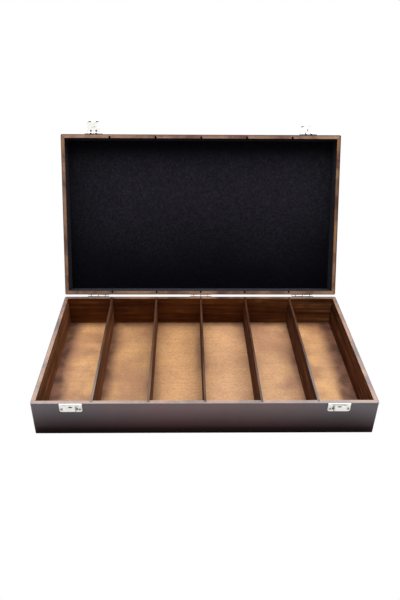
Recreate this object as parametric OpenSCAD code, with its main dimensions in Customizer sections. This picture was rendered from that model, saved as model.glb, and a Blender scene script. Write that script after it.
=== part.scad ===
// Hinged wooden case for fountain pens, drawn with its lid standing open.
// +X runs along the length, +Y to the hinges and +Z up. The origin is the centre of the underside.

/* [Case] */
// Outside length, left to right
case_w = 400; // [370:1:440]
// Outside depth, front to hinges
case_d = 230; // [200:1:260]
// Height of the base, underside to rim
base_h = 46.5; // [42:0.5:60]
// Height of the lid, rim to outer face
lid_h = 30; // [28:1:40]
// Thickness of the side boards
wall_t = 5.2; // [5:0.1:7]
// Rounding of the four upright outer corners
corner_r = 2; // [1:0.5:4]
// Thickness of the floor panel
floor_t = 3.6; // [3:0.2:4.6]
// Thickness of the lid's top panel
top_t = 4; // [3:0.5:5]
// Angle between the closed lid and the lid on its stops
lid_open = 114; // [104:1:118]
// Gap between the two rims when the lid is shut
rim_gap = 0.2; // [0.2:0.1:0.6]

/* [Dividers] */
// Thickness of a divider
divider_t = 2.5; // [2:0.5:4]
// Depth of the grooves that house the dividers
groove_depth = 2.8; // [2:0.2:3.2]
// How far a divider's rear end enters its groove
rear_housing = 0.9; // [0.5:0.1:1.5]
// How far the dividers stay below the rim
divider_drop = 0.3; // [0.2:0.1:2]

/* [Lining] */
// Thickness of the covered board under the lid's top panel
lining_board_t = 2; // [1.5:0.5:3]
// Thickness of the covered strips on the lid's walls
lining_strip_t = 1; // [0.8:0.2:1.6]
// Distance from the lid's rim to the strips
lining_inset = 0.8; // [0.5:0.1:3]

/* [Hinges] */
// Distance of the outer hinges from the middle one
hinge_spread = 151; // [130:1:160]
// Length of a hinge leaf along the case
hinge_w = 30; // [26:1:36]
// Length of the short end knuckle
knuckle_short = 4.5; // [4:0.5:5]
// Reach of a leaf from the pivot
leaf_h = 15; // [14:1:20]
// Thickness of a leaf
leaf_t = 0.9; // [0.8:0.1:1]
// Outer radius of the knuckles
barrel_r = 1.7; // [1.6:0.1:1.8]
// Distance of the pivot behind the back face
pivot_y = 2; // [1.9:0.1:2.2]
// Radius of the hinge pin
hinge_pin_r = 0.8; // [0.7:0.1:0.9]
// Reach of the stop lips from the pivot
lip_l = 5.6; // [5:0.2:6.6]

/* [Latches] */
// Distance of each latch from the middle of the case
latch_spread = 154; // [130:1:160]
// Width of a latch plate
plate_w = 26; // [26:0.5:32]
// Height of a latch plate
plate_h = 11.5; // [11.5:0.5:14]
// Travel of the latch slider
slider_travel = 1.5; // [1.3:0.1:1.5]

/* [Hasps] */
// Width of a hasp's mounting plate
hasp_w = 24; // [24:1:30]
// Width of a hasp flap
flap_w = 17; // [17:0.5:18.5]
// Lift of the left flap from its shut place
left_flap_angle = 90; // [20:1:135]
// Lift of the right flap from its shut place
right_flap_angle = 130; // [20:1:135]
// Bend of a flap's finger lip
lip_bend = 35; // [15:5:50]

/* [Hidden] */
$fn = 48;
eps = 0.01;
DIVIDERS = 5;

// Colours
stained_wood = "#4a3228";
golden_wood = "#b98a58";
black_velvet = "#15151a";
nickel = "#d9d8d2";

// Boards
inner_w = case_w - 2 * wall_t;
inner_d = case_d - 2 * wall_t;
rabbet_lap = 2.5;
groove_w = divider_t + 0.1;
cell_w = (inner_w - DIVIDERS * divider_t) / (DIVIDERS + 1);
lining_z = lid_h - top_t - lining_board_t;
lining_fit = 0.2;

// Pivot of the lid
pivot = [0, case_d / 2 + pivot_y, base_h + rim_gap / 2];

// Hinges: a clearance between turning parts, and one between knuckles
turn_gap = 0.3;
running_gap = 0.06;
leaf_edge = 0.4;
stop_gap = 0.08;
knuckle_long = hinge_w / 2 - knuckle_short;
leaf_relief = sqrt(pow(barrel_r + turn_gap, 2) - pow(pivot_y - leaf_t, 2));
hinge_screw_x = 9.5;
hinge_screw_z = -10.2;
HINGES = [-hinge_spread, 0, hinge_spread];

// Screws
screw_r = 1;
screw_hole_r = 1.1;
screw_head_h = 0.9;
screw_l = 4.4;

// Latches, in a frame on the front face: x along it, y up from the base's rim, z outwards
flange_t = 0.9;
housing_t = 1.9;
housing_shell = 0.5;
housing_x = 8.7;
housing_low = -10.1;
housing_top = -2;
latch_screw = [10.6, -7.6];
slot_x = 2.1;
slot_y = [-4.85, -3.05];
slider_t = 0.7;
slider_z = 0.4;
slider_body_x = [2.5, 6.7];
slider_body_y = [-9.2, -2.9];
nose_x = 1;
nose_y = [-4.75, -3.15];
neck_x = [5.5, 6.7];
neck_y = [-7.6, -5.2];
knob_x = [5.25, 6.95];
knob_y = [-9.2, -3.4];
knob_z = [2.2, 3.6];
mortise = [4.6, 2.5, 2.2];
mortise_top = -2.4;

// Hasps, in the same frame
hasp_axis = [6, 1.8];
hasp_barrel_r = 1.7;
hasp_pin_r = 1;
hasp_middle_x = 2.7;
flap_z = 2.2;
flap_t = 0.85;
flap_knuckle_x = 5;
hasp_side_gap = 0.3;
flap_notch = 2.6;
flap_body_low = -2.6;
stem_x = 4.9;
head_y = -10.4;
head_l = 4.6;
hook_x = 1.8;
hook_r = [9.45, 10.35];
hook_reach = -1.6;
hook_notch_x = 0.75;
hook_notch_z = [0.15, 1.35];
mount_low = 7.8;
mount_top = 18.5;
hasp_screw = [9, 13.6];

// --- Helpers ---

// A box from one corner to the opposite one
module span(low, high) {
    translate(low) cube(high - low);
}

// A flat plate in the XY plane with its four corners rounded
module rounded_plate(size, t, r) {
    linear_extrude(t) {
        translate([0, r]) square([size.x, size.y - 2 * r]);
        translate([r, 0]) square([size.x - 2 * r, size.y]);
        for (x = [r, size.x - r], y = [r, size.y - r]) {
            translate([x, y]) circle(r);
        }
    }
}

// A cylinder along X, from x to x + l
module x_rod(x, l, r) {
    translate([x, 0, 0]) rotate([0, 90, 0]) cylinder(h = l, r = r);
}

// A domed screw with a crossed recess: its head rests on z = 0 and its shank goes down
module screw() {
    head_r = 2;
    ball_r = (head_r * head_r + screw_head_h * screw_head_h) / (2 * screw_head_h);
    recess = [2.2, 0.45, 0.5];
    difference() {
        intersection() {
            translate([0, 0, screw_head_h - ball_r]) sphere(ball_r);
            cylinder(h = 2 * screw_head_h, r = 2 * head_r);
        }
        for (a = [0, 90]) {
            rotate(a + 20) translate([0, 0, screw_head_h]) cube(
                [recess.x, recess.y, 2 * recess.z], center = true);
        }
    }
    translate([0, 0, -screw_l]) cylinder(h = screw_l + eps, r = screw_r);
}

// A pilot hole under a screw whose plate is flange thick
module pilot(flange) {
    translate([0, 0, -screw_l - eps]) cylinder(h = screw_l - flange + 2 * eps, r = screw_r);
}

// Moves a part from the shut lid's place to the open one
module opened() {
    translate(pivot) rotate([-lid_open, 0, 0]) translate(-pivot) children();
}

// The lid's own frame when shut: z = 0 at its rim
module lid_frame() {
    translate([0, 0, base_h + rim_gap]) children();
}

// The frame of the latches and hasps
module front_frame(x) {
    translate([x, -case_d / 2, base_h]) rotate([90, 0, 0]) children();
}

// The frame of a hinge: its pivot along X, with the base's back face at y = -pivot_y
module hinge_frame(x) {
    translate([x, pivot.y, pivot.z]) children();
}

// Screw places on a leaf, heads facing +Y
module leaf_screws() {
    for (x = [-hinge_screw_x, hinge_screw_x]) {
        translate([x, leaf_t - pivot_y, hinge_screw_z]) rotate([-90, 0, 0]) children();
    }
}

// The same places on the lid's leaf, which is the base's leaf turned half round about Y
module turned_over() {
    rotate([0, 180, 0]) children();
}

module latch_screw_places(x) {
    front_frame(x) for (side = [-1, 1]) {
        translate([side * latch_screw.x, latch_screw.y, flange_t]) children();
    }
}

module hasp_screw_places(x) {
    front_frame(x) for (side = [-1, 1]) {
        translate([side * hasp_screw.x, hasp_screw.y, flange_t]) children();
    }
}

// --- Boards ---

// A mitred board along the front (side = -1) or the back (side = 1)
module long_board(side, h) {
    intersection() {
        translate([-case_w / 2, -case_d / 2, 0]) rounded_plate([case_w, case_d], h, corner_r);
        linear_extrude(h) polygon([
            [-case_w / 2, side * case_d / 2], [case_w / 2, side * case_d / 2],
            [inner_w / 2, side * inner_d / 2], [-inner_w / 2, side * inner_d / 2]
        ]);
    }
}

// A mitred board along the left (side = -1) or the right (side = 1)
module short_board(side, h) {
    intersection() {
        translate([-case_w / 2, -case_d / 2, 0]) rounded_plate([case_w, case_d], h, corner_r);
        linear_extrude(h) polygon([
            [side * case_w / 2, -case_d / 2], [side * case_w / 2, case_d / 2],
            [side * inner_w / 2, inner_d / 2], [side * inner_w / 2, -inner_d / 2]
        ]);
    }
}

// The step that a panel is let into
module rabbet(low, high) {
    span([-inner_w / 2 - rabbet_lap, -inner_d / 2 - rabbet_lap, low],
         [inner_w / 2 + rabbet_lap, inner_d / 2 + rabbet_lap, high]);
}

function divider_x(k) = -inner_w / 2 + k * (cell_w + divider_t) - divider_t / 2;

// The grooves for the dividers, which run on into the lid because the two are cut from one box
module grooves(side, low, high) {
    for (k = [1:DIVIDERS]) {
        translate([divider_x(k), side * (inner_d / 2 + groove_depth / 2), (low + high) / 2])
            cube([groove_w, groove_depth + 2 * eps, high - low], center = true);
    }
}

module base_front_board() {
    color(stained_wood) difference() {
        long_board(-1, base_h);
        rabbet(-1, floor_t);
        grooves(-1, floor_t, base_h + 1);
        for (x = [-latch_spread, latch_spread]) {
            latch_screw_places(x) pilot(flange_t);
            front_frame(x) translate([-mortise.x / 2, mortise_top - mortise.y, -mortise.z])
                cube([mortise.x, mortise.y, mortise.z + 1]);
        }
    }
}

module base_back_board() {
    color(stained_wood) difference() {
        long_board(1, base_h);
        rabbet(-1, floor_t);
        grooves(1, floor_t, base_h + 1);
        for (x = HINGES) {
            hinge_frame(x) leaf_screws() pilot(leaf_t);
        }
    }
}

module base_side_board(side) {
    color(stained_wood) difference() {
        short_board(side, base_h);
        rabbet(-1, floor_t);
    }
}

module base_floor() {
    color(golden_wood) rabbet(0, floor_t);
}

module divider(k) {
    color(stained_wood) span(
        [divider_x(k) - divider_t / 2, -inner_d / 2 - groove_depth + 0.1, floor_t],
        [divider_x(k) + divider_t / 2, inner_d / 2 + rear_housing, base_h - divider_drop]);
}

module lid_front_board() {
    color(stained_wood) opened() difference() {
        lid_frame() difference() {
            long_board(-1, lid_h);
            rabbet(lid_h - top_t, lid_h + 1);
            grooves(-1, -1, lid_h - top_t);
        }
        for (x = [-latch_spread, latch_spread]) {
            hasp_screw_places(x) pilot(flange_t);
        }
    }
}

module lid_back_board() {
    color(stained_wood) opened() difference() {
        lid_frame() difference() {
            long_board(1, lid_h);
            rabbet(lid_h - top_t, lid_h + 1);
            grooves(1, -1, lid_h - top_t);
        }
        for (x = HINGES) {
            hinge_frame(x) turned_over() leaf_screws() pilot(leaf_t);
        }
    }
}

module lid_side_board(side) {
    color(stained_wood) opened() lid_frame() difference() {
        short_board(side, lid_h);
        rabbet(lid_h - top_t, lid_h + 1);
    }
}

module lid_top_panel() {
    color(stained_wood) opened() lid_frame() rabbet(lid_h - top_t, lid_h);
}

// --- Lining of the lid ---

module lining_panel() {
    color(black_velvet) opened() lid_frame() span(
        [-inner_w / 2 + lining_fit, -inner_d / 2 + lining_fit, lining_z],
        [inner_w / 2 - lining_fit, inner_d / 2 - lining_fit, lid_h - top_t]);
}

// The strip on the lid's front wall (side = -1) or back wall (side = 1)
module lining_long(side) {
    color(black_velvet) opened() lid_frame()
        translate([0, side * (inner_d - lining_strip_t) / 2, (lining_inset + lining_z) / 2])
            cube([inner_w - 2 * lining_fit, lining_strip_t, lining_z - lining_inset],
                 center = true);
}

// The strip on the lid's left wall (side = -1) or right wall (side = 1)
module lining_short(side) {
    strip_l = inner_d - 2 * lining_strip_t - 2 * lining_fit;
    color(black_velvet) opened() lid_frame()
        translate([side * (inner_w - lining_strip_t) / 2, 0, (lining_inset + lining_z) / 2])
            cube([lining_strip_t, strip_l, lining_z - lining_inset], center = true);
}

// --- Stop hinges ---

// One leaf with a short and a long knuckle. Its lip stops the other leaf at lid_open.
module hinge_leaf(bore_r) {
    plate_y = [-pivot_y, leaf_t - pivot_y];
    short_x = -hinge_w / 2;
    long_x = turn_gap / 2;
    long_l = knuckle_long - turn_gap;
    short_l = knuckle_short - turn_gap / 2;
    difference() {
        union() {
            span([-hinge_w / 2, plate_y[0], -leaf_h], [hinge_w / 2, plate_y[1], -leaf_relief]);
            for (k = [[short_x, short_l], [long_x, long_l]]) {
                x_rod(k[0], k[1], barrel_r);
                span([k[0], plate_y[0], -leaf_relief - eps], [k[0] + k[1], plate_y[1], -leaf_edge]);
            }
            rotate([-lid_open, 0, 0]) translate([long_x, plate_y[1] + stop_gap, 0])
                cube([long_l, leaf_t, lip_l]);
        }
        x_rod(-hinge_w, 2 * hinge_w, bore_r);
        leaf_screws() translate([0, 0, -2 * leaf_t]) cylinder(h = 4 * leaf_t, r = screw_hole_r);
    }
}

module hinge_base_leaf(x) {
    color(nickel) hinge_frame(x) hinge_leaf(hinge_pin_r);
}

module hinge_lid_leaf(x) {
    color(nickel) opened() hinge_frame(x) turned_over() hinge_leaf(hinge_pin_r + running_gap);
}

module hinge_pin(x) {
    head_l = 0.5;
    color(nickel) hinge_frame(x) {
        x_rod(-hinge_w / 2 - 0.1, hinge_w + 0.2, hinge_pin_r);
        x_rod(-hinge_w / 2 - 0.1 - head_l, head_l, 1.6 * hinge_pin_r);
        x_rod(hinge_w / 2 + 0.1, head_l, 1.6 * hinge_pin_r);
    }
}

module hinge_screws_base() {
    color(nickel) for (x = HINGES) {
        hinge_frame(x) leaf_screws() screw();
    }
}

module hinge_screws_lid() {
    color(nickel) opened() for (x = HINGES) {
        hinge_frame(x) turned_over() leaf_screws() screw();
    }
}

// --- Latches on the base ---

// The plate, with a pressed housing over the slider. The knob side is +x.
module latch_plate_shape() {
    flange_r = 2.4;
    housing_size = [2 * housing_x, housing_top - housing_low];
    knob_slot_x = [neck_x[0] - turn_gap, neck_x[1] + slider_travel + 0.1];
    cavity_x = housing_x - housing_shell + 0.1;
    difference() {
        union() {
            translate([-plate_w / 2, -plate_h - 0.1, 0])
                rounded_plate([plate_w, plate_h], flange_t, flange_r);
            span([-plate_w / 2, -plate_h / 2, 0], [plate_w / 2, -0.1, flange_t]);
            translate([-housing_x, housing_low, 0]) rounded_plate(housing_size, housing_t, 1);
        }
        span([-cavity_x, housing_low + housing_shell, -1],
             [cavity_x, housing_top - housing_shell, housing_t - housing_shell]);
        span([-slot_x, slot_y[0], 0], [slot_x, slot_y[1], housing_t + 1]);
        span([knob_slot_x[0], neck_y[0] - turn_gap, 0],
             [knob_slot_x[1], neck_y[1] + turn_gap, housing_t + 1]);
        for (side = [-1, 1]) {
            translate([side * latch_screw.x, latch_screw.y, -1])
                cylinder(h = flange_t + 2, r = screw_hole_r);
        }
    }
}

// The bolt, whose nose holds the hasp's hook, and the thumb knob on it
module latch_slider_shape() {
    low_z = slider_z;
    high_z = slider_z + slider_t;
    span([slider_body_x[0], slider_body_y[0], low_z], [slider_body_x[1], slider_body_y[1], high_z]);
    span([nose_x, nose_y[0], low_z], [slider_body_x[0] + eps, nose_y[1], high_z]);
    span([neck_x[0], neck_y[0], high_z - eps], [neck_x[1], neck_y[1], knob_z[0] + eps]);
    translate([knob_x[0], knob_y[0], knob_z[0]]) rounded_plate(
        [knob_x[1] - knob_x[0], knob_y[1] - knob_y[0]], knob_z[1] - knob_z[0], 0.6);
}

// side = -1 for the left latch, whose knob faces the middle, and 1 for its mirror image
module latch_plate(side) {
    color(nickel) front_frame(side * latch_spread) mirror([side > 0 ? 1 : 0, 0, 0])
        latch_plate_shape();
}

module latch_slider(side) {
    color(nickel) front_frame(side * latch_spread) mirror([side > 0 ? 1 : 0, 0, 0])
        latch_slider_shape();
}

module latch_screws() {
    color(nickel) for (x = [-latch_spread, latch_spread]) {
        latch_screw_places(x) screw();
    }
}

// --- Hasps on the lid ---

// The mounting plate, with a middle knuckle and two outer ones
module hasp_mount_shape() {
    outer_x = flap_w / 2 + hasp_side_gap;
    knuckles = [[-hasp_w / 2, -outer_x], [-hasp_middle_x, hasp_middle_x], [outer_x, hasp_w / 2]];
    difference() {
        union() {
            translate([-hasp_w / 2, mount_low, 0])
                rounded_plate([hasp_w, mount_top - mount_low], flange_t, 1.5);
            for (k = knuckles) {
                span([k[0], hasp_axis[0], 0], [k[1], mount_low + 2, flange_t]);
                translate([0, hasp_axis[0], hasp_axis[1]]) x_rod(k[0], k[1] - k[0], hasp_barrel_r);
            }
        }
        translate([0, hasp_axis[0], hasp_axis[1]]) x_rod(-hasp_w, 2 * hasp_w, hasp_pin_r);
        for (side = [-1, 1]) {
            translate([side * hasp_screw.x, hasp_screw.y, -1])
                cylinder(h = flange_t + 2, r = screw_hole_r);
        }
    }
}

// The hook behind the flap, curved about the flap's axis and notched for the latch's nose
module hasp_hook() {
    difference() {
        intersection() {
            translate([0, hasp_axis[0], hasp_axis[1]]) difference() {
                x_rod(-hook_x, 2 * hook_x, hook_r[1]);
                x_rod(-hook_x - 1, 2 * hook_x + 2, hook_r[0]);
            }
            span([-hook_x, -plate_h, hook_reach], [hook_x, 0, flap_z + flap_t / 2]);
        }
        span([hook_notch_x, -plate_h, hook_notch_z[0]], [hook_x + 1, 0, hook_notch_z[1]]);
    }
}

// The flap in its shut place. The knob side is +x.
module hasp_flap_shape() {
    axis_y = hasp_axis[0];
    top_z = flap_z + flap_t;
    difference() {
        union() {
            translate([-flap_w / 2, flap_body_low, flap_z])
                rounded_plate([flap_w, axis_y - flap_body_low], flap_t, 1.4);
            for (x = [-flap_w / 2, flap_knuckle_x]) {
                span([x, axis_y - flap_notch, flap_z],
                     [x + flap_w / 2 - flap_knuckle_x, axis_y, top_z]);
                translate([0, axis_y, hasp_axis[1]])
                    x_rod(x, flap_w / 2 - flap_knuckle_x, hasp_barrel_r);
            }
            span([-flap_w / 2, head_y - 0.3, flap_z], [stem_x, flap_body_low + 1.5, top_z]);
            translate([-flap_w / 2, head_y, flap_z]) rotate([-lip_bend, 0, 0])
                translate([0, -head_l, 0]) rounded_plate([flap_w, head_l], flap_t, 1.4);
            hasp_hook();
        }
        span([-flap_knuckle_x, axis_y - flap_notch, flap_z - 1],
             [flap_knuckle_x, axis_y + 1, top_z + 1]);
        translate([0, axis_y, hasp_axis[1]]) x_rod(-hasp_w, 2 * hasp_w, hasp_pin_r + running_gap);
    }
}

module hasp_mount(side) {
    color(nickel) opened() front_frame(side * latch_spread) hasp_mount_shape();
}

module hasp_flap(side, lift) {
    color(nickel) opened() front_frame(side * latch_spread)
        translate([0, hasp_axis[0], hasp_axis[1]]) rotate([-lift, 0, 0])
        translate([0, -hasp_axis[0], -hasp_axis[1]])
        mirror([side > 0 ? 1 : 0, 0, 0]) hasp_flap_shape();
}

module hasp_pin(side) {
    color(nickel) opened() front_frame(side * latch_spread)
        translate([0, hasp_axis[0], hasp_axis[1]]) x_rod(-hasp_w / 2 - 0.3, hasp_w + 0.6, hasp_pin_r);
}

module hasp_screws() {
    color(nickel) opened() for (x = [-latch_spread, latch_spread]) {
        hasp_screw_places(x) screw();
    }
}

// --- Nodes ---

base_front_board();
base_back_board();
base_side_board(-1);  // base_left_board
base_side_board(1);  // base_right_board
base_floor();
divider(1);  // divider_1
divider(2);  // divider_2
divider(3);  // divider_3
divider(4);  // divider_4
divider(5);  // divider_5
lid_front_board();
lid_back_board();
lid_side_board(-1);  // lid_left_board
lid_side_board(1);  // lid_right_board
lid_top_panel();
lining_panel();
lining_long(-1);  // lining_front
lining_long(1);  // lining_back
lining_short(-1);  // lining_left
lining_short(1);  // lining_right
hinge_base_leaf(HINGES[0]);  // hinge_left_base_leaf
hinge_lid_leaf(HINGES[0]);  // hinge_left_lid_leaf
hinge_pin(HINGES[0]);  // hinge_left_pin
hinge_base_leaf(HINGES[1]);  // hinge_middle_base_leaf
hinge_lid_leaf(HINGES[1]);  // hinge_middle_lid_leaf
hinge_pin(HINGES[1]);  // hinge_middle_pin
hinge_base_leaf(HINGES[2]);  // hinge_right_base_leaf
hinge_lid_leaf(HINGES[2]);  // hinge_right_lid_leaf
hinge_pin(HINGES[2]);  // hinge_right_pin
hinge_screws_base();
hinge_screws_lid();
latch_plate(-1);  // latch_left_plate
latch_slider(-1);  // latch_left_slider
latch_plate(1);  // latch_right_plate
latch_slider(1);  // latch_right_slider
latch_screws();
hasp_mount(-1);  // hasp_left_mount
hasp_flap(-1, left_flap_angle);  // hasp_left_flap
hasp_pin(-1);  // hasp_left_pin
hasp_mount(1);  // hasp_right_mount
hasp_flap(1, right_flap_angle);  // hasp_right_flap
hasp_pin(1);  // hasp_right_pin
hasp_screws();
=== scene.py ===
"""The looks of the pen case: materials, velvet lining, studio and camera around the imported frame."""

import math
from fnmatch import fnmatchcase

import bmesh
import bpy
from mathutils import Matrix, Vector, noise


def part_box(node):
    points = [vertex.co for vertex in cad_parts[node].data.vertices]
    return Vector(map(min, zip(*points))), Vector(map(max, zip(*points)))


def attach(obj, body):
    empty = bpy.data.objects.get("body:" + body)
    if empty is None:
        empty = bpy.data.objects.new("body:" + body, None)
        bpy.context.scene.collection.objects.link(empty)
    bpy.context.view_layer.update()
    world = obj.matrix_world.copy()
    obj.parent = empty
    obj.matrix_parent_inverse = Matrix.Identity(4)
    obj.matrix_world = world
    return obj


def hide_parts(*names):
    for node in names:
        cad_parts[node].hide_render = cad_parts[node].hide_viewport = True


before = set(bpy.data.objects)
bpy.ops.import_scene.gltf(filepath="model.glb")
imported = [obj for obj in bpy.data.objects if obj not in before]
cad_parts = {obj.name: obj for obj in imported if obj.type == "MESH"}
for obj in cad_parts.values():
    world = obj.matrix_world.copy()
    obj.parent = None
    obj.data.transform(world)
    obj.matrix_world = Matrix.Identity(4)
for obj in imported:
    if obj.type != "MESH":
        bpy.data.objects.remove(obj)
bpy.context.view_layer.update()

# ---------------------------------------------------------------------------
# Sizes of the case, in metres
# ---------------------------------------------------------------------------
HALF_W = 0.2
HALF_D = 0.115
BASE_TOP = 0.0465
LID_RIM = 0.0467
LID_TOP = 0.0767
WALL = 0.0052
CORNER_R = 0.002
DIVIDER_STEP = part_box("divider_2")[0].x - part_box("divider_1")[0].x
HINGE_SPREAD = 0.151
KNUCKLE_JOINT = 0.0105  # from a hinge's middle to its outer joints
LATCH_SPREAD = 0.154
LATCH_SCREW_ASIDE = 0.0106  # from a latch's middle
LATCH_SCREW_Z = 0.0389
HASP_AXIS = Vector((0.0, -0.1168, 0.0525))
PIVOT = Vector((0.0, 0.117, 0.0466))
OPEN_ANGLE = math.radians(114)
SHUT_TO_OPEN = (
    Matrix.Translation(PIVOT)
    @ Matrix.Rotation(-OPEN_ANGLE, 4, "X")
    @ Matrix.Translation(-PIVOT)
)
OPEN_TO_SHUT = SHUT_TO_OPEN.inverted()


# ---------------------------------------------------------------------------
# Small node-tree helper
# ---------------------------------------------------------------------------
class Tree:
    """Builds one material's node tree with short calls."""

    def __init__(self, name):
        self.mat = bpy.data.materials.new(name)
        self.mat.use_nodes = True
        self.nodes = self.mat.node_tree.nodes
        self.links = self.mat.node_tree.links
        self.nodes.clear()
        self.out = self.nodes.new("ShaderNodeOutputMaterial")
        self.bsdf = self.nodes.new("ShaderNodeBsdfPrincipled")
        self.links.new(self.bsdf.outputs["BSDF"], self.out.inputs["Surface"])

    def put(self, socket, value):
        """Links a socket to a node's output, or sets its plain value."""
        if isinstance(value, bpy.types.NodeSocket):
            self.links.new(value, socket)
        elif value is not None:
            socket.default_value = value

    def node(self, kind, inputs=(), **settings):
        n = self.nodes.new(kind)
        for key, value in settings.items():
            setattr(n, key, value)
        for key, value in dict(inputs).items():
            self.put(n.inputs[key], value)
        return n

    def math(self, operation, a, b=None, c=None):
        n = self.node("ShaderNodeMath", operation=operation)
        for socket, value in zip(n.inputs, (a, b, c)):
            self.put(socket, value)
        return n.outputs[0]

    def size(self, value):
        return self.math("ABSOLUTE", value)

    def add(self, a, b):
        return self.math("ADD", a, b)

    def less(self, a, b):
        """a minus b."""
        return self.math("SUBTRACT", a, b)

    def times(self, a, b):
        return self.math("MULTIPLY", a, b)

    def linear(self, value, factor, offset):
        """value times factor, plus offset."""
        return self.math("MULTIPLY_ADD", value, factor, offset)

    def vmath(self, operation, a, b=None, scale=None):
        n = self.node("ShaderNodeVectorMath", operation=operation)
        self.put(n.inputs[0], a)
        if b is not None:
            self.put(n.inputs[1], b)
        if scale is not None:
            self.put(n.inputs["Scale"], scale)
        return n.outputs["Value" if operation == "LENGTH" else "Vector"]

    def reach(self, a, b):
        """How far a place (a, b) in a plane is from the plane's origin."""
        flat = self.node("ShaderNodeCombineXYZ", {0: a, 1: b}).outputs[0]
        return self.vmath("LENGTH", flat)

    def noise(self, vector, scale, detail=3.0, roughness=0.55, distortion=0.0):
        values = {
            "Vector": vector,
            "Scale": scale,
            "Detail": detail,
            "Roughness": roughness,
            "Distortion": distortion,
        }
        return self.node("ShaderNodeTexNoise", values).outputs["Fac"]

    def step(self, value, low, high, out_low=0.0, out_high=1.0):
        """A smooth step of value from low to high."""
        values = {0: value, 1: low, 2: high, 3: out_low, 4: out_high}
        n = self.node("ShaderNodeMapRange", values, interpolation_type="SMOOTHSTEP")
        return n.outputs[0]

    def band(self, value, start, full, full_end, end):
        """1 between full and full_end, smoothly down to 0 at start and at end."""
        return self.times(self.step(value, start, full), self.step(value, end, full_end))

    def mix(self, share, a, b):
        """Mixes two colours."""
        n = self.node("ShaderNodeMix", data_type="RGBA")
        self.put(n.inputs[0], share)
        self.put(n.inputs[6], colour(a))
        self.put(n.inputs[7], colour(b))
        return n.outputs[2]

    def layers(self, tone, rows):
        """Mixes a tone over a first one for each row, which says: the value it follows, the
        values where it is none and most, how much that most is, and the tone itself."""
        for value, none, most, share, over in rows:
            tone = self.mix(self.step(value, none, most, 0.0, share), tone, over)
        return tone

    def split(self, vector):
        return self.node("ShaderNodeSeparateXYZ", {0: vector}).outputs

    def rounded(self, radius):
        """A normal that rounds hard edges off by this radius."""
        return self.node("ShaderNodeBevel", {"Radius": radius}, samples=4).outputs[0]

    def bump(self, height, distance, normal=None):
        n = self.node("ShaderNodeBump", {"Height": height, "Distance": distance, "Strength": 1.0})
        self.put(n.inputs["Normal"], normal)
        return n.outputs[0]

    def finish(self, **sockets):
        for key, value in sockets.items():
            self.put(self.bsdf.inputs[key.replace("_", " ")], value)
        return self.mat


def colour(value):
    """A colour as Blender takes it: three numbers get an alpha of 1."""
    if isinstance(value, tuple) and len(value) == 3:
        return (*value, 1.0)
    return value


def body_point(t, lid):
    """A point in the body's own frame: for the lid, where it is with the lid shut."""
    point = t.node("ShaderNodeTexCoord").outputs["Object"]
    if not lid:
        return point
    values = {"Vector": point, "Center": PIVOT, "Angle": OPEN_ANGLE}
    return t.node("ShaderNodeVectorRotate", values, rotation_type="X_AXIS").outputs[0]


def outer_shell(t, x, y, depth):
    """1 on the case's outside, down to this depth under it, and 0 further in."""
    past_x = t.math("MAXIMUM", t.less(t.size(x), HALF_W - CORNER_R), 0.0)
    past_y = t.math("MAXIMUM", t.less(t.size(y), HALF_D - CORNER_R), 0.0)
    inside = t.less(CORNER_R, t.reach(past_x, past_y))
    return t.step(inside, depth, depth * 0.4)


# ---------------------------------------------------------------------------
# Wood
# ---------------------------------------------------------------------------
# The lacquered outside: the middle of a face, its ends, its blotches, and painted shade at the base's
# foot.
ESPRESSO_RED = (0.082, 0.0140, 0.0180)
ESPRESSO_BLUE = (0.030, 0.0100, 0.0220)
BLACK_STAIN_AND_SHADE = (0.022, 0.0030, 0.0035)
FOOT_PAINTED_SHADE = (0.004, 0.0004, 0.0006)
# The cut rims, each a dark and a pale tone.
RIM_TONES = ((0.085, 0.038, 0.028), (0.41, 0.195, 0.105))
LID_RIM_TONES = ((0.17, 0.076, 0.048), (0.52, 0.300, 0.190))
LID_SIDE_RIM_TONES = ((0.13, 0.052, 0.028), (0.42, 0.215, 0.110))
EDGE_TONES = ((0.040, 0.014, 0.008), (0.135, 0.056, 0.030))
# A grey reflection painted on the rims' ends.
RIM_PAINTED_REFLECTION = (0.22, 0.19, 0.185)
# The stained inside, each a dark, a light and a glowing tone.
WALNUT = ((0.020, 0.0050, 0.0018), (0.135, 0.042, 0.0150), (0.42, 0.170, 0.060))
WARM_WALNUT = ((0.046, 0.0095, 0.0020), (0.175, 0.052, 0.0110), (0.36, 0.130, 0.032))
PAINTED_LIT_WALNUT = ((0.055, 0.0180, 0.0065), (0.300, 0.120, 0.0480), (0.60, 0.300, 0.120))
# Two sets of those tones, and the x where each of them is at its full: the paler set is painted light,
# where the faces take more light.
SIDE_STAIN_AND_PAINTED_LIGHT = (WALNUT, PAINTED_LIT_WALNUT, 0.06, -0.12)
BACK_STAIN_AND_PAINTED_LIGHT = (WARM_WALNUT, PAINTED_LIT_WALNUT, 0.06, 0.19)

BASE_SHELL = 0.0009
LID_SHELL = 0.0014
BASE_RIM_GLOSS = 0.8
LID_RIM_GLOSS = 0.15


def grain(t, point, axis, fine=1.0):
    """Long streaks along one axis: a coarse and a fine set, each from 0 to 1."""
    stretch = [520.0 * fine] * 3
    stretch["XYZ".index(axis)] = 16.0 * fine
    warped = t.vmath("MULTIPLY", point, tuple(stretch))
    coarse = t.noise(warped, 0.3, detail=5.0, roughness=0.62, distortion=0.6)
    stretch = [2300.0] * 3
    stretch["XYZ".index(axis)] = 60.0
    warped = t.vmath("MULTIPLY", point, tuple(stretch))
    return coarse, t.noise(warped, 0.6, detail=3.0, roughness=0.65)


def painted_foot_shade(t, z):
    """Where shade is painted on the base's outside: 1 at its foot, and 0 near its top."""
    rise = t.node("ShaderNodeMapRange", {0: z, 1: 0.0075, 2: 0.040}).outputs[0]
    return t.less(1.0, t.math("POWER", rise, 0.85))


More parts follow.
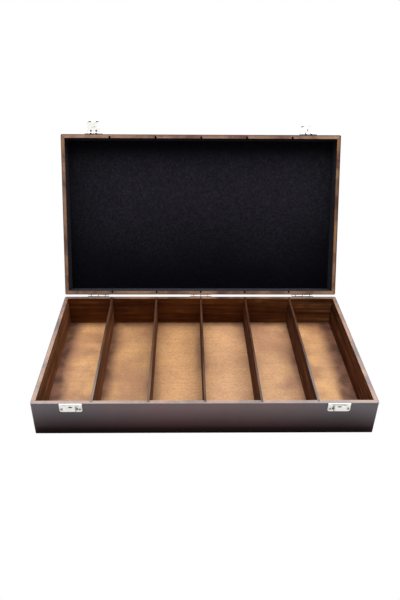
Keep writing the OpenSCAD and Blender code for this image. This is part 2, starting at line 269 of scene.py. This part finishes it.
def walnut_inside(t, x, y, grains, blotch, cloud, stain):
    """The inside's stain: streaked and glowing in places, with painted light: the paler tones towards
    one side, and paler towards the front.
    """
    coarse, fine = grains
    first, second, x_first, x_second = stain
    # Painted light: the share of the paler, lit tones, by x.
    share = t.step(x, x_first, x_second)
    dark, light, glow = (t.mix(share, a, b) for a, b in zip(first, second))
    streak = t.step(coarse, 0.36, 0.64)
    share = t.linear(t.step(blotch, 0.3, 0.7), 0.45, t.times(streak, 0.6))
    tone = t.mix(share, dark, light)
    lit = t.times(t.step(coarse, 0.5, 0.7), t.step(cloud, 0.42, 0.62))
    tone = t.mix(t.times(lit, 0.55), tone, glow)
    pores = t.step(fine, 0.36, 0.62)
    tone = t.mix(t.times(pores, 0.3), tone, dark)
    # Painted light: paler towards the front, most on the right.
    front = t.step(y, 0.07, -0.08)
    painted_front_light = t.step(x, 0.10, 0.18, 0.08, 0.45)
    return t.vmath("SCALE", tone, scale=t.linear(front, painted_front_light, 1.0))


def cut_rim(t, point, coarse, tones):
    """The sawn edge of a board: patches of its two tones, streaked with the darker one."""
    patches = t.step(t.noise(point, 26.0, detail=4.0), 0.34, 0.6)
    streak = t.step(coarse, 0.36, 0.64)
    return t.mix(t.times(streak, 0.45), t.mix(patches, *tones), tones[0])


def stained_wood(name, axis, lid=False, tones=RIM_TONES, stain=SIDE_STAIN_AND_PAINTED_LIGHT, rim_end_reflection=False, dull=False):
    """Stained board: espresso lacquer outside with painted shade at the base's foot, walnut stain
    inside with painted light, and cut rims. axis is the grain's. A flag paints a grey reflection on
    the rim's ends, and dull takes the gloss off the middle."""
    t = Tree(name)
    point = body_point(t, lid)
    x, y, z = t.split(point)
    coarse, fine = grain(t, point, axis)
    blotch = t.noise(point, 17.0, detail=3.0)
    cloud = t.noise(point, 55.0, detail=3.0)
    ends = t.step(t.size(x), 0.05, 0.17)

    outside = t.mix(ends, ESPRESSO_RED, ESPRESSO_BLUE)
    outside = t.mix(t.step(blotch, 0.4, 0.75, 0.0, 0.35), outside, BLACK_STAIN_AND_SHADE)
    shell = outer_shell(t, x, y, LID_SHELL if lid else BASE_SHELL)
    if lid:
        shell = t.math("MAXIMUM", shell, t.step(z, LID_TOP - 0.001, LID_TOP - 0.0005))
        sheen = t.linear(shell, -0.3, 1.0)
    else:
        foot = painted_foot_shade(t, z)
        # Painted shade: the base's outside darkened towards its foot, where its coat also fades.
        outside = t.mix(t.times(foot, 0.9), outside, BLACK_STAIN_AND_SHADE)
        outside = t.mix(t.step(z, 0.013, 0.001, 0.0, 0.95), outside, FOOT_PAINTED_SHADE)
        sheen = t.linear(foot, -0.97, 1.0)
    inside = walnut_inside(t, x, y, (coarse, fine), blotch, cloud, stain)
    rim = cut_rim(t, point, coarse, tones)
    if rim_end_reflection:
        # Painted reflection: grey mixed into the rim's ends.
        rim = t.mix(t.times(ends, 0.45), rim, RIM_PAINTED_REFLECTION)
    from_rim = t.size(t.less(z, LID_RIM if lid else BASE_TOP))
    on_rim = t.step(from_rim, 0.0006, 0.0002)
    base = t.mix(shell, t.mix(on_rim, inside, rim), outside)

    bare = t.linear(t.math("MAXIMUM", shell, on_rim), -0.4, 0.4)
    rough = t.add(t.linear(coarse, 0.14, 0.34), bare)
    gloss = t.math("MAXIMUM", shell, t.times(on_rim, LID_RIM_GLOSS if lid else BASE_RIM_GLOSS))
    gloss = t.linear(gloss, 0.98, 0.02)
    if dull:
        gloss = t.times(gloss, t.step(t.size(x), 0.03, 0.14, 0.15, 1.0))
    height = t.linear(fine, 0.35, coarse)
    height = t.times(height, t.linear(shell, -0.98, 1.0))
    return t.finish(
        Base_Color=base,
        Roughness=rough,
        Normal=t.bump(height, 0.00006, normal=t.rounded(0.0005)),
        Specular_IOR_Level=0.12,
        Coat_Weight=t.times(gloss, sheen),
        Coat_Roughness=0.22,
        Coat_IOR=1.8,
    )


GOLD_TONES = ((0.56, 0.285, 0.140), (0.84, 0.47, 0.205))
# Painted light in the middle compartments, and a painted highlight in the outer ones.
PAINTED_LIGHT_GOLD = (0.96, 0.53, 0.235)
PAINTED_HIGHLIGHT_GOLD = (0.98, 0.56, 0.235)
PALEST_GOLD = (0.97, 0.60, 0.30)
STAIN_TONES = ((0.085, 0.032, 0.026), (0.24, 0.105, 0.070))


def bare_gold(t, x, y, blotch, rows):
    """The floor's wood before staining, cooler on the right, with painted light: brighter gold in the
    middle, and paler towards the back, most on the right and at the far left.
    """
    gold = t.mix(t.step(blotch, 0.35, 0.65), *GOLD_TONES)
    # Painted light: brighter gold in the middle compartments.
    gold = t.mix(t.step(t.size(x), 0.10, 0.03, 0.0, 0.6), gold, PAINTED_LIGHT_GOLD)
    gold = t.layers(gold, rows)
    right = t.step(x, -0.02, 0.03)
    # Painted light: paler towards the back, most on the right and at the far left.
    back = t.step(y, 0.010, 0.075)
    paler = t.math("MAXIMUM", right, t.step(x, -0.12, -0.145))
    painted_back_light = t.times(back, t.linear(paler, 0.20, 0.04))
    gold = t.vmath("SCALE", gold, scale=t.add(painted_back_light, 1.0))
    cooler = t.times(right, t.step(x, 0.145, 0.125))
    gold = t.mix(cooler, gold, t.vmath("MULTIPLY", gold, (1.0, 1.03, 1.17)))
    return t.vmath("MINIMUM", gold, PALEST_GOLD), right


def floor_ply(name):
    """Golden ply of the compartments' floor, with brown stain gathered towards the outer side."""
    t = Tree(name)
    point = body_point(t, False)
    x, y = t.split(point)[:2]
    coarse, fine = grain(t, point, "X", fine=2.2)
    blotch = t.noise(point, 16.0, detail=2.0)
    cloud = t.noise(point, 60.0, detail=3.0, roughness=0.6)
    fleck = t.noise(t.vmath("MULTIPLY", point, (260.0, 520.0, 400.0)), 1.0, detail=4.0)
    speck = t.noise(point, 560.0, detail=2.0)
    rows = (
        (cloud, 0.35, 0.70, 0.22, (0.45, 0.215, 0.115)),
        (coarse, 0.40, 0.70, 0.20, (0.38, 0.185, 0.085)),
        (fleck, 0.42, 0.70, 0.26, (0.30, 0.135, 0.065)),
        (speck, 0.40, 0.66, 0.26, (0.25, 0.115, 0.060)),
        (speck, 0.62, 0.72, 0.35, (0.13, 0.055, 0.030)),
    )
    gold, right = bare_gold(t, x, y, blotch, rows)

    # The compartments, ranked 0 to 2 from the middle out, and how far the dividers are.
    cell = t.math("DIVIDE", t.size(x), DIVIDER_STEP)
    rank = t.math("FLOOR", cell)
    to_inner = t.times(t.math("FRACT", cell), DIVIDER_STEP)
    to_outer = t.less(DIVIDER_STEP, to_inner)
    to_outer = t.less(to_outer, t.linear(rank, 0.008, -0.003))
    fifth = t.times(t.math("COMPARE", rank, 1.0, 0.5), right)
    to_outer = t.linear(fifth, 0.0045, to_outer)
    # Painted highlight: brighter gold near the inner divider of the two outer compartments.
    bright = t.times(t.math("COMPARE", rank, 2.0, 0.5), t.step(to_inner, 0.045, 0.02))
    bright = t.times(bright, t.step(t.noise(point, 34.0), 0.4, 0.62))
    gold = t.mix(t.times(bright, 0.5), gold, PAINTED_HIGHLIGHT_GOLD)

    # The stain, as near as it is to a divider or an end board, with a ragged edge.
    to_inner = t.linear(right, 0.005, to_inner)
    to_side = t.math("SMOOTH_MIN", to_inner, to_outer, 0.008)
    to_end = t.less(HALF_D - WALL, t.size(y))
    near = t.math("SMOOTH_MIN", to_side, to_end, 0.008)
    spread = t.noise(t.vmath("MULTIPLY", point, (26.0, 9.0, 20.0)), 1.0, detail=2.0)
    for ragged, width in ((spread, 0.024), (cloud, 0.007), (speck, 0.006)):
        near = t.add(near, t.linear(ragged, width, -width / 2))
    stained = t.mix(t.step(cloud, 0.35, 0.65), *STAIN_TONES)
    base = t.mix(t.step(near, 0.0135, -0.006, 0.0, 0.9), gold, stained)

    rough = t.linear(blotch, 0.15, 0.38)
    normal = t.bump(t.linear(fine, 0.5, coarse), 0.00004)
    return t.finish(Base_Color=base, Roughness=rough, Normal=normal, Specular_IOR_Level=0.3)


# ---------------------------------------------------------------------------
# Metal and velvet
# ---------------------------------------------------------------------------
BRIGHT_TONES = ((0.86, 0.845, 0.80), (0.95, 0.94, 0.91))
# A darker copy of the nickel for the sliders, as painted shade on their knobs.
SLIDER_PAINTED_SHADE_TONES = ((0.42, 0.40, 0.35), (0.58, 0.56, 0.50))
GRIME = (0.45, 0.42, 0.37)
# A near-black tone, for painted shade in the hasps' bends and for darker joints and screws.
DARKENED_TONE = (0.035, 0.032, 0.030)


def nickel(name, lid=False, darkening=None, rough_low=0.2, tones=BRIGHT_TONES):
    """Stamped nickel with fine scratches, a little cloudy. A mask function makes it darker, from 0 to
    1:
    painted shade in the hasps' bends, and darker joints and screws."""
    t = Tree(name)
    point = body_point(t, lid)
    cloud = t.noise(point, 260.0, detail=3.0)
    scratch = t.noise(t.vmath("MULTIPLY", point, (400.0, 5200.0, 5200.0)), 1.0, detail=3.0)
    grime = t.noise(point, 900.0, detail=2.0)
    tone = t.layers(t.mix(cloud, *tones), [(grime, 0.62, 0.8, 0.3, GRIME)])
    if darkening:
        # Painted shade in the hasps' bends, and darker joints and screws, where the mask says.
        tone = t.mix(darkening(t, point), tone, DARKENED_TONE)
    rough = t.linear(scratch, 0.12, rough_low)
    rough = t.linear(cloud, 0.08, rough)
    normal = t.bump(t.linear(cloud, 0.6, scratch), 0.000012, normal=t.rounded(0.00025))
    return t.finish(Base_Color=tone, Metallic=1.0, Roughness=rough, Normal=normal)


def knuckle_joint_darkening(t, point):
    """Darker in the three joints between a hinge's knuckles."""
    x, y, z = t.split(point)
    half = HINGE_SPREAD / 2
    from_centre = t.size(t.math("WRAP", x, half, -half))
    from_joint = t.size(t.less(from_centre, KNUCKLE_JOINT))
    from_joint = t.math("MINIMUM", from_centre, from_joint)
    from_axis = t.reach(t.less(z, PIVOT.z), t.less(y, PIVOT.y))
    darkening = t.times(t.step(from_joint, 0.0011, 0.0004), t.step(from_axis, 0.0024, 0.002))
    return t.times(darkening, 0.55)


def from_latch(t, x):
    """How far a place is to the side of the middle of its latch and hasp."""
    return t.size(t.less(t.size(x), LATCH_SPREAD))


def screw_recess_darkening(t, point):
    """Darker in the recesses of the latches' screws."""
    x, y, z = t.split(point)
    from_screw = t.reach(t.less(from_latch(t, x), LATCH_SCREW_ASIDE), t.less(z, LATCH_SCREW_Z))
    return t.step(from_screw, 0.0018, 0.0008, 0.0, 0.65)


def hasp_lip_and_root_shade(t, point):
    """Painted shade in the bend of a flap's lip and at its root, on both sides of its middle."""
    x, y, z = t.split(point)
    aside = from_latch(t, x)
    from_axis = t.reach(t.less(y, HASP_AXIS.y), t.less(z, HASP_AXIS.z))
    lip = t.band(aside, 0.0024, 0.0032, 0.0072, 0.0080)
    lip = t.times(lip, t.band(from_axis, 0.0155, 0.0162, 0.0172, 0.0180))
    root = t.band(aside, 0.0024, 0.0030, 0.0046, 0.0052)
    root = t.times(root, t.band(from_axis, 0.0022, 0.0026, 0.0046, 0.0054))
    return t.math("MAXIMUM", lip, root)


def dark_steel(name):
    """Near-black steel for the pins that show between the hasps' knuckles, as painted shade in those
    gaps.
    """
    t = Tree(name)
    cloud = t.noise(body_point(t, False), 400.0, detail=3.0)
    tone = t.mix(cloud, (0.020, 0.019, 0.018), (0.060, 0.056, 0.052))
    rough = t.linear(cloud, 0.3, 0.4)
    return t.finish(Base_Color=tone, Metallic=1.0, Roughness=rough, Normal=t.bump(cloud, 0.00002))


VELVET_SHADE = (0.0020, 0.0020, 0.0042)
VELVET_SHEEN = (0.0435, 0.0405, 0.0540)
VELVET_BLACK = (0.004, 0.004, 0.007)


def velvet(name):
    """Black flocked velvet: short pile in soft clouds, with painted shade darker towards the hinges,
    and painted light and shade on its strips and sides.
    """
    t = Tree(name)
    point = body_point(t, True)
    x, y = t.split(point)[:2]
    pile = t.noise(point, 1300.0, detail=2.0, roughness=0.7)
    cloud = t.noise(point, 260.0, detail=5.0, roughness=0.75)
    shade_wobble = t.noise(point, 12.0, detail=2.0)
    speck = t.noise(point, 620.0, detail=1.0)
    tuft = t.noise(point, 430.0, detail=2.0)
    # Painted shade: the lining darker towards the hinges, on a wobbly edge.
    toward_hinge_shade = t.add(y, t.linear(shade_wobble, 0.05, -0.025))
    tone = t.mix(t.step(toward_hinge_shade, 0.105, -0.05), VELVET_SHADE, VELVET_SHEEN)
    # Painted light and shade: darker on the left, lighter side strips and back strip, and a near-black
    # painted shadow of the lid's front board along the front.
    rows = (
        (x, -0.11, -0.19, 0.35, (0.004, 0.004, 0.006)),
        (t.size(x), 0.1930, 0.1937, 1.0, (0.040, 0.041, 0.052)),
        (y, 0.1080, 0.1087, 1.0, (0.090, 0.095, 0.115)),
        (y, -0.078, -0.103, 1.0, (0.0004, 0.0004, 0.0016)),
    )
    tone = t.layers(tone, rows)
    spots = t.times(t.step(cloud, 0.3, 0.7), t.step(pile, 0.3, 0.75))
    tone = t.mix(t.linear(spots, -0.75, 0.75), tone, VELVET_BLACK)
    tone = t.layers(tone, [(speck, 0.735, 0.78, 0.4, (0.10, 0.10, 0.11))])
    tone = t.vmath("SCALE", tone, scale=t.step(tuft, 0.36, 0.64, 0.76, 1.26))
    return t.finish(
        Base_Color=tone,
        Roughness=0.9,
        Normal=t.bump(pile, 0.00025),
        Specular_IOR_Level=0.06,
        Sheen_Weight=0.05,
        Sheen_Roughness=0.4,
        Sheen_Tint=(0.62, 0.68, 0.85, 1.0),
    )


# ---------------------------------------------------------------------------
# Velvet lining: five covered cards, made with the lid shut and then opened
# ---------------------------------------------------------------------------
CLOTH_STEP = 0.0025
DEEPEST_ROLL = 0.85  # the most a rolled edge drops, as a share of the card's thickness


def shut_box(node):
    """A lid node's box in the frame of the shut lid."""
    points = [OPEN_TO_SHUT @ v.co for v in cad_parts[node].data.vertices]
    low = Vector([min(p[k] for p in points) for k in range(3)])
    high = Vector([max(p[k] for p in points) for k in range(3)])
    return low, high


def grid_stops(length, edge):
    """Places along a side: even steps, with closer ones round the rolled edges."""
    near = [edge * (1 - math.cos(math.radians(a))) for a in (0, 22, 45, 67, 90)]
    count = max(2, round((length - 2 * edge) / CLOTH_STEP))
    inner = [edge + (length - 2 * edge) * i / count for i in range(1, count)]
    return near + inner + [length - s for s in reversed(near)]


def rolled(place, length, edge, thick):
    """How far the cloth drops at this distance from a side, as it rolls over the edge."""
    inward = min(place, length - place)
    if inward >= edge:
        return 0.0
    fall = 1 - math.sqrt(max(0.0, 1 - ((edge - inward) / edge) ** 2))
    return fall * min(edge, thick * 0.8)


def close_behind(bm, rows, axis, back):
    """Sides from the grid's border to the card's back, and the back itself."""
    border = [r[0] for r in rows] + rows[-1][1:]
    border += [r[-1] for r in reversed(rows[:-1])] + list(reversed(rows[0][1:-1]))
    behind = []
    for vert in border:
        p = vert.co.copy()
        p[axis] = back
        behind.append(bm.verts.new(p))
    count = len(border)
    for i in range(count):
        k = (i + 1) % count
        bm.faces.new((border[i], behind[i], behind[k], border[k]))
    bm.faces.new(list(reversed(behind)))


def covered_card(name, node, face, edge, puff):
    """A card wrapped in velvet. face is its shown side as (axis, sign), edge the radius of
    its rolled edges, and puff how far the middle of the cloth stands in from the card's box."""
    low, high = shut_box(node)
    axis, sign = face
    u, v = [k for k in range(3) if k != axis]
    size_u, size_v = high[u] - low[u], high[v] - low[v]
    thick = high[axis] - low[axis]
    front = high[axis] if sign > 0 else low[axis]
    bm = bmesh.new()
    rows = []
    for a in grid_stops(size_u, edge):
        row = []
        for b in grid_stops(size_v, edge):
            p = Vector((0, 0, 0))
            p[u] = low[u] + a
            p[v] = low[v] + b
            drop = rolled(a, size_u, edge, thick) + rolled(b, size_v, edge, thick)
            drop = min(drop, thick * DEEPEST_ROLL)
            wave = noise.noise(Vector((p[u] * 22, p[v] * 22, 3.7 * axis)))
            wave += 0.5 * noise.noise(Vector((p[u] * 70, p[v] * 70, 1.3)))
            lie = puff * (0.55 + 0.45 * wave)
            p[axis] = front - sign * (drop + max(lie, 0.0))
            row.append(bm.verts.new(p))
        rows.append(row)
    for i in range(len(rows) - 1):
        for j in range(len(rows[0]) - 1):
            bm.faces.new((rows[i][j], rows[i + 1][j], rows[i + 1][j + 1], rows[i][j + 1]))
    close_behind(bm, rows, axis, front - sign * thick)
    bmesh.ops.recalc_face_normals(bm, faces=bm.faces)
    mesh = bpy.data.meshes.new(name)
    bm.to_mesh(mesh)
    bm.free()
    mesh.transform(SHUT_TO_OPEN)
    for polygon in mesh.polygons:
        polygon.use_smooth = True
    piece = bpy.data.objects.new(name, mesh)
    bpy.context.scene.collection.objects.link(piece)
    piece.data.materials.append(MATERIALS["velvet"])
    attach(piece, "lid")
    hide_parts(node)


# ---------------------------------------------------------------------------
# Materials on the frame
# ---------------------------------------------------------------------------
MATERIALS = {
    "base_long": stained_wood("stained_wood_base_long", "X", stain=BACK_STAIN_AND_PAINTED_LIGHT, rim_end_reflection=True),
    "base_short": stained_wood("stained_wood_base_short", "Y"),
    "divider": stained_wood("stained_wood_divider", "Y", tones=EDGE_TONES, dull=True),
    "lid_long": stained_wood("stained_wood_lid_long", "X", lid=True, tones=LID_RIM_TONES),
    "lid_short": stained_wood("stained_wood_lid_short", "Y", lid=True, tones=LID_SIDE_RIM_TONES),
    "floor": floor_ply("golden_wood_floor"),
    "nickel": nickel("bright_nickel"),
    "screw": nickel("screw_nickel", darkening=screw_recess_darkening),
    "slider": nickel("slider_nickel", rough_low=0.3, tones=SLIDER_PAINTED_SHADE_TONES),
    "hinge": nickel("hinge_nickel", darkening=knuckle_joint_darkening, rough_low=0.3),
    "hasp": nickel("hasp_nickel", lid=True, darkening=hasp_lip_and_root_shade, rough_low=0.22),
    "pin": dark_steel("dark_steel_pin"),
    "velvet": velvet("black_velvet_pile"),
}
# The material of each node: the first pattern that its name fits.
NODE_MATERIALS = {
    "base_front_board": "base_long",
    "base_back_board": "base_long",
    "base_left_board": "base_short",
    "base_right_board": "base_short",
    "base_floor": "floor",
    "divider*": "divider",
    "lid_front_board": "lid_long",
    "lid_back_board": "lid_long",
    "lid_top_panel": "lid_long",
    "lid_left_board": "lid_short",
    "lid_right_board": "lid_short",
    "lining*": "velvet",
    "hasp*pin": "pin",
    "hasp*": "hasp",
    "hinge*": "hinge",
    "latch_screws": "screw",
    "*slider": "slider",
    "*": "nickel",
}


def dress_frame():
    for name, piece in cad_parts.items():
        kind = next(kind for fit, kind in NODE_MATERIALS.items() if fnmatchcase(name, fit))
        for place in piece.material_slots:
            place.material = MATERIALS[kind]


def round_edges(name, width):
    """Real rounded edges on a plain board."""
    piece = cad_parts[name]
    weld = piece.modifiers.new("weld", "WELD")
    weld.merge_threshold = 1e-6
    bevel = piece.modifiers.new("round", "BEVEL")
    bevel.width = width
    bevel.segments = 2
    bevel.limit_method = "ANGLE"
    bevel.angle_limit = math.radians(40)
    bevel.harden_normals = True


# ---------------------------------------------------------------------------
# Studio
# ---------------------------------------------------------------------------
WHITE = (1.0, 1.0, 1.0, 1.0)
TABLE_WHITE = (0.86, 0.86, 0.86, 1.0)
TABLE_RADIUS = 3.0
WORLD_LIGHT = 0.18
CAMERA_PLACE = (-0.02380, -0.60560, 0.49700)
CAMERA_TURN = (32.3385, 1.0193, 0.5544)  # degrees: pitch down, turn right and roll


def seen_white(tree, lighting, out):
    """Shows a plain white to the camera in place of this shader, which still lights the case."""
    world = out.bl_idname == "ShaderNodeOutputWorld"
    white = tree.nodes.new("ShaderNodeBackground" if world else "ShaderNodeEmission")
    white.inputs["Color"].default_value = WHITE
    white.inputs["Strength"].default_value = 1.0
    path = tree.nodes.new("ShaderNodeLightPath")
    mix = tree.nodes.new("ShaderNodeMixShader")
    tree.links.new(path.outputs["Is Camera Ray"], mix.inputs[0])
    tree.links.new(lighting.outputs[0], mix.inputs[1])
    tree.links.new(white.outputs[0], mix.inputs[2])
    tree.links.new(mix.outputs[0], out.inputs["Surface"])


def studio_floor():
    """A white table top, wide enough to light the case from below."""
    bm = bmesh.new()
    bmesh.ops.create_circle(bm, cap_ends=True, segments=96, radius=TABLE_RADIUS)
    mesh = bpy.data.meshes.new("studio_floor")
    bm.to_mesh(mesh)
    bm.free()
    floor = bpy.data.objects.new("studio_floor", mesh)
    bpy.context.scene.collection.objects.link(floor)
    t = Tree("studio_floor_white")
    floor.data.materials.append(t.finish(Base_Color=TABLE_WHITE, Roughness=0.8))
    seen_white(t.mat.node_tree, t.bsdf, t.out)


def studio_world():
    world = bpy.data.worlds.new("studio")
    bpy.context.scene.world = world
    world.use_nodes = True
    back = world.node_tree.nodes["Background"]
    back.inputs["Color"].default_value = WHITE
    back.inputs["Strength"].default_value = WORLD_LIGHT
    seen_white(world.node_tree, back, world.node_tree.nodes["World Output"])


def softbox(name, place, aim, size, power):
    light = bpy.data.lights.new(name, "AREA")
    light.shape = "RECTANGLE"
    light.size, light.size_y = size
    light.energy = power
    lamp = bpy.data.objects.new(name, light)
    bpy.context.scene.collection.objects.link(lamp)
    lamp.location = place
    lamp.rotation_euler = (Vector(aim) - Vector(place)).to_track_quat("-Z", "Y").to_euler()
    lamp.visible_camera = False


def studio_camera():
    """The camera, solved from the case's edges."""
    data = bpy.data.cameras.new("camera")
    data.sensor_width = 36.0
    data.lens = 34.452
    data.shift_x = 0.01123
    data.clip_end = 100.0
    camera = bpy.data.objects.new("camera", data)
    bpy.context.scene.collection.objects.link(camera)
    pitch, yaw, roll = (math.radians(a) for a in CAMERA_TURN)
    forward = Vector(
        (math.sin(yaw) * math.cos(pitch), math.cos(yaw) * math.cos(pitch), -math.sin(pitch))
    )
    right = forward.cross(Vector((0, 0, 1))).normalized()
    up = right.cross(forward)
    tilted_right = math.cos(roll) * right + math.sin(roll) * up
    tilted_up = -math.sin(roll) * right + math.cos(roll) * up
    turn = Matrix((tilted_right, tilted_up, -forward)).transposed()
    camera.matrix_world = Matrix.Translation(CAMERA_PLACE) @ turn.to_4x4()
    bpy.context.scene.camera = camera


# ---------------------------------------------------------------------------
# The scene
# ---------------------------------------------------------------------------
studio_camera()
studio_floor()
studio_world()
softbox("overhead", (0.25, 0.92, 1.4), (0.25, 0.92, 0), (2.6, 2.16), 56)
softbox("front_fill", (-0.3, -2.2, 1.35), (0, 0, 0.1), (2.1, 1.3), 11)
dress_frame()
for index in range(1, 6):
    round_edges(f"divider_{index}", 0.0003)
round_edges("lid_top_panel", 0.0004)

covered_card("velvet_panel", "lining_panel", (2, -1), 0.0012, 0.0004)
covered_card("velvet_front_strip", "lining_front", (1, 1), 0.0008, 0.0002)
covered_card("velvet_back_strip", "lining_back", (1, -1), 0.0008, 0.0002)
covered_card("velvet_left_strip", "lining_left", (0, 1), 0.0008, 0.0002)
covered_card("velvet_right_strip", "lining_right", (0, -1), 0.0008, 0.0002)

scene_view = bpy.context.scene.view_settings
scene_view.view_transform = "Standard"
scene_view.look = "None"
